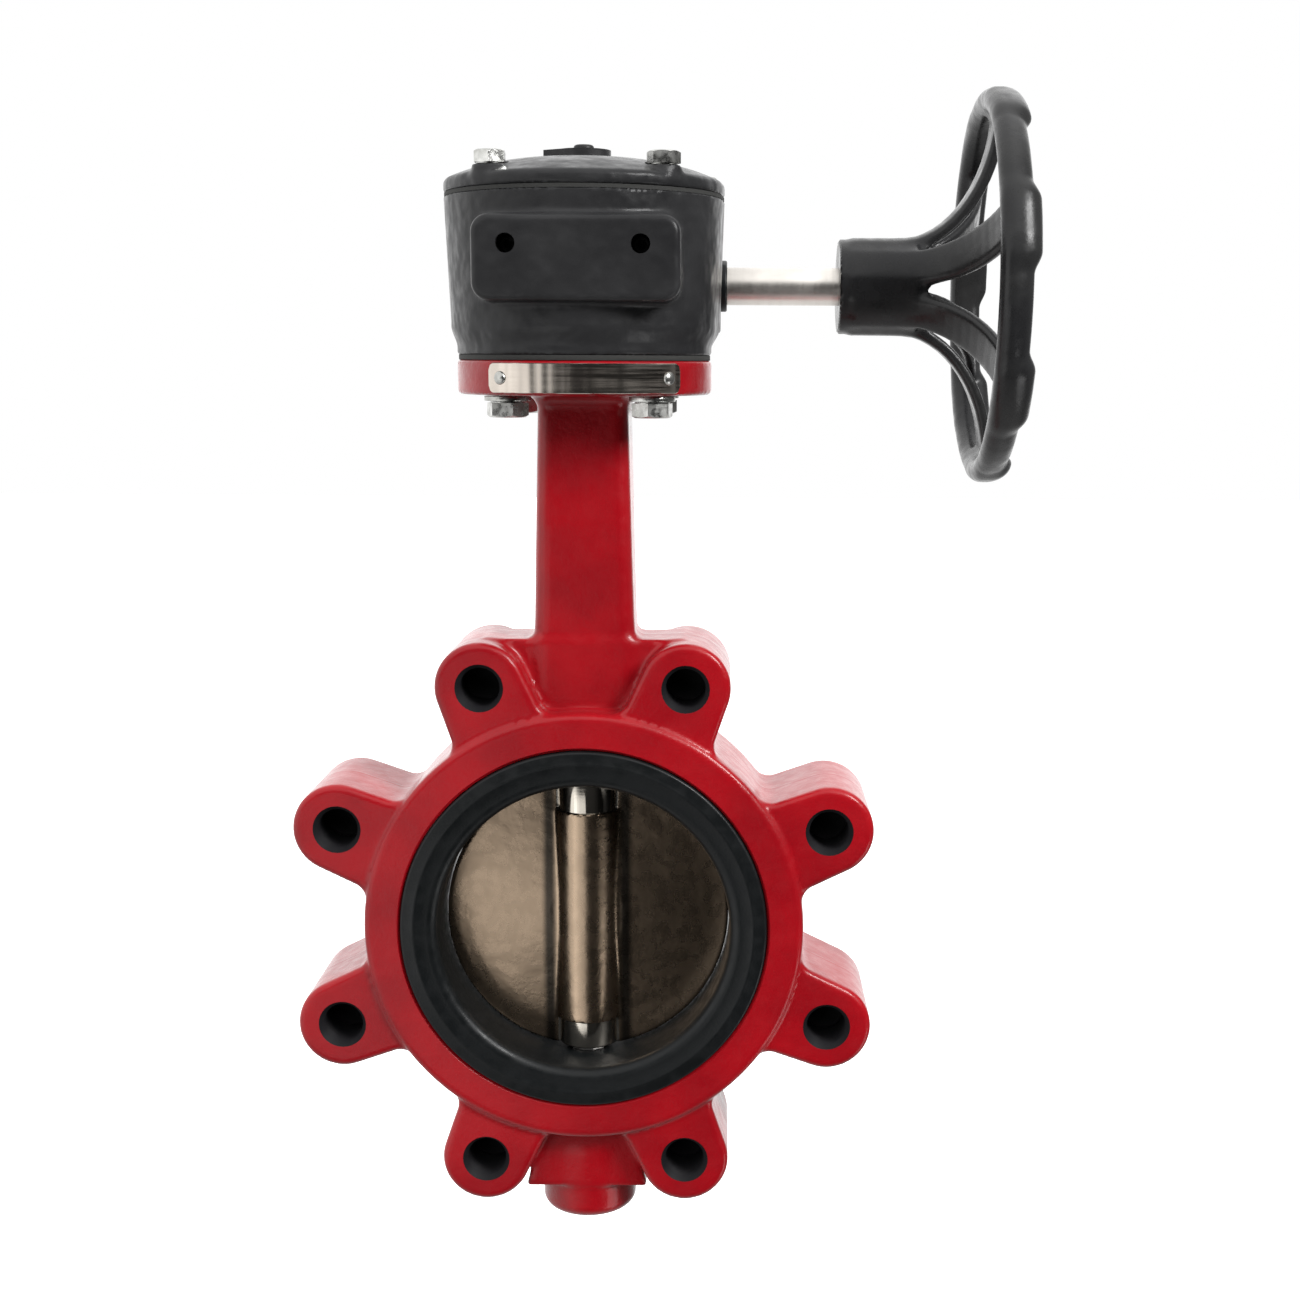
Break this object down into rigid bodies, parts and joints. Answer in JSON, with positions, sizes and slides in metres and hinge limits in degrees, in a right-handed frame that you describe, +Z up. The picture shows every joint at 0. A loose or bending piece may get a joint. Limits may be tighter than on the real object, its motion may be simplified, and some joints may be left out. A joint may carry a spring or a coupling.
{
  "type": "lug butterfly valve",
  "caption": "Lug-style butterfly valve with a rubber-lined bore, a disc on a vertical stem, a worm gear operator on a long neck and a side handwheel.",
  "frame": {"origin": "centre of the pipe bore, on the stem axis", "axes": "+X towards the handwheel, +Y along the pipe away from the side with the stop screws, +Z up the stem"},
  "size_m": [0.262, 0.1692, 0.4183],
  "materials": {
    "red_paint": "semi-gloss red paint over a rough sand casting of ductile iron",
    "black_paint": "glossy black paint over cast iron",
    "black_enamel": "high-gloss black enamel over cast iron",
    "black_rubber": "matt moulded rubber",
    "disc_bronze": "as-cast aluminium bronze with machined bands at the hub ends",
    "stainless": "turned stainless steel",
    "zinc": "zinc-plated steel",
    "gear_iron": "machined and greased iron",
    "bronze_bush": "turned bronze",
    "tag_metal": "brushed, blank",
    "gasket": "matt fibre sheet"
  },
  "bodies": {
    "valve": {"valve_body": "red_paint", "seat_liner": "black_rubber", "lower_stem_bushing": "bronze_bush", "middle_stem_bushing": "bronze_bush", "upper_stem_bushing": "bronze_bush", "stem_seal": "black_rubber", "bottom_plug": "zinc", "name_tag": "tag_metal", "name_tag_rivet_left": "zinc", "name_tag_rivet_right": "zinc", "flange_gasket": "gasket", "gearbox_housing": "black_paint", "quadrant_bushing": "bronze_bush", "cover_gasket": "gasket", "gearbox_cover": "black_paint", "cover_bolt_1": "zinc", "cover_bolt_2": "zinc", "cover_bolt_3": "zinc", "cover_bolt_4": "zinc", "mounting_bolt_1": "zinc", "mounting_bolt_2": "zinc", "mounting_bolt_3": "zinc", "mounting_bolt_4": "zinc", "mounting_washer_1": "zinc", "mounting_washer_2": "zinc", "mounting_washer_3": "zinc", "mounting_washer_4": "zinc", "stop_screw_open": "black_paint", "stop_screw_closed": "black_paint", "worm_bearing_left": "bronze_bush", "worm_bearing_right": "bronze_bush", "shaft_seal": "black_rubber", "shaft_end_cap": "black_paint"},
    "disc_and_stem": {"disc": "disc_bronze", "upper_stem": "stainless", "lower_stem": "stainless", "quadrant_gear": "gear_iron", "stem_key": "gear_iron", "position_indicator": "black_paint", "indicator_screw": "black_paint"},
    "handwheel_and_worm": {"input_shaft": "stainless", "worm": "gear_iron", "worm_pin": "stainless", "handwheel": "black_enamel", "handwheel_roll_pin": "stainless"}
  },
  "joints": [
    {"name": "disc_turn", "type": "hinge", "parent": "valve", "child": "disc_and_stem", "pos_m": [0, 0, 0], "axis": [0, 0, 1], "range_deg": [0, 90]},
    {"name": "handwheel_spin", "type": "hinge", "parent": "valve", "child": "handwheel_and_worm", "pos_m": [0.1, 0.045, 0.23], "axis": [1, 0, 0], "range_deg": [0, 2160]}
  ],
  "couplings": [
    {"joint": "disc_turn", "follows": "handwheel_spin", "ratio": 0.041667}
  ]
}
